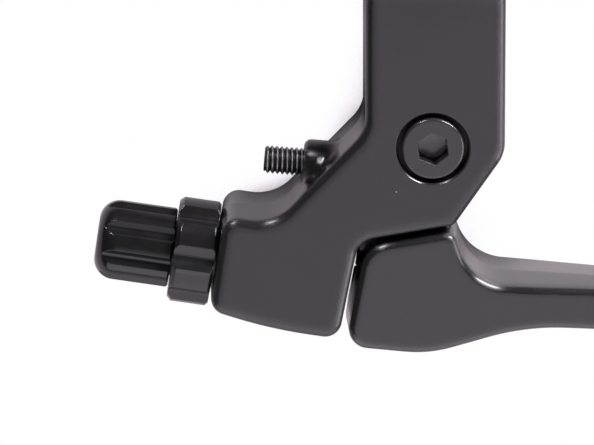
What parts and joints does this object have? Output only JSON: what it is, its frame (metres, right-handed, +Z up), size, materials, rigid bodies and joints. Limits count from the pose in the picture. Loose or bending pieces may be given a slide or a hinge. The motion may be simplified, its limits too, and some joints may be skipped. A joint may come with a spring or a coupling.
{
  "type": "bicycle brake lever",
  "caption": "Black bicycle brake lever: a cast bracket with a split bar clamp, a pivoting finger blade, a fluted barrel adjuster with lock ring and a reach screw.",
  "frame": {"origin": "middle of the handlebar clamp bore", "axes": "+X along the handlebar towards the ball end of the blade, +Y from the lever towards the rider, +Z up, the side that faces up on the bar"},
  "size_m": [0.14, 0.0935, 0.0306],
  "materials": {
    "bracket_black": "satin",
    "lever_black": "satin",
    "bolt_black": "satin",
    "barrel_black": "gloss",
    "ring_black": "gloss",
    "screw_black": "satin",
    "nut_steel": "satin",
    "bush_bronze": "satin",
    "washer_plastic": "matte",
    "spring_steel": "satin",
    "anchor_brass": "satin"
  },
  "bodies": {
    "bracket": {"lever_body": "bracket_black", "clamp_bolt": "bolt_black", "pivot_bolt": "bolt_black", "pivot_nut": "nut_steel", "pivot_washer_upper": "washer_plastic", "pivot_washer_lower": "washer_plastic", "return_spring": "spring_steel"},
    "lever": {"lever_blade": "lever_black", "pivot_bush_upper": "bush_bronze", "pivot_bush_lower": "bush_bronze"},
    "anchor": {"cable_anchor": "anchor_brass"},
    "adjuster": {"barrel_adjuster": "barrel_black"},
    "ring": {"lock_ring": "ring_black"},
    "screw": {"reach_screw": "screw_black"}
  },
  "joints": [
    {"name": "lever_pull", "type": "hinge", "parent": "bracket", "child": "lever", "pos_m": [0, -0.038, 0], "axis": [0, 0, 1], "range_deg": [0, 30], "stiffness_Nm_per_rad": 0.12, "springref_deg": -34.38, "deforming": ["return_spring"]},
    {"name": "anchor_swivel", "type": "hinge", "parent": "lever", "child": "anchor", "pos_m": [-0.00393, -0.05996, 0], "axis": [0, 0, 1], "range_deg": [-30, 0]},
    {"name": "adjuster_turn", "type": "hinge", "parent": "bracket", "child": "adjuster", "pos_m": [-0.03082, -0.05589, 0], "axis": [-0.9888, 0.1495, 0], "range_deg": [0, 2160]},
    {"name": "lock_ring_turn", "type": "hinge", "parent": "adjuster", "child": "ring", "pos_m": [-0.03082, -0.05589, 0], "axis": [-0.9888, 0.1495, 0], "range_deg": [0, 180]},
    {"name": "reach_screw_turn", "type": "hinge", "parent": "bracket", "child": "screw", "pos_m": [-0.00874, -0.04306, 0], "axis": [-0.9962, 0.0872, 0], "range_deg": [-1440, 720]}
  ]
}
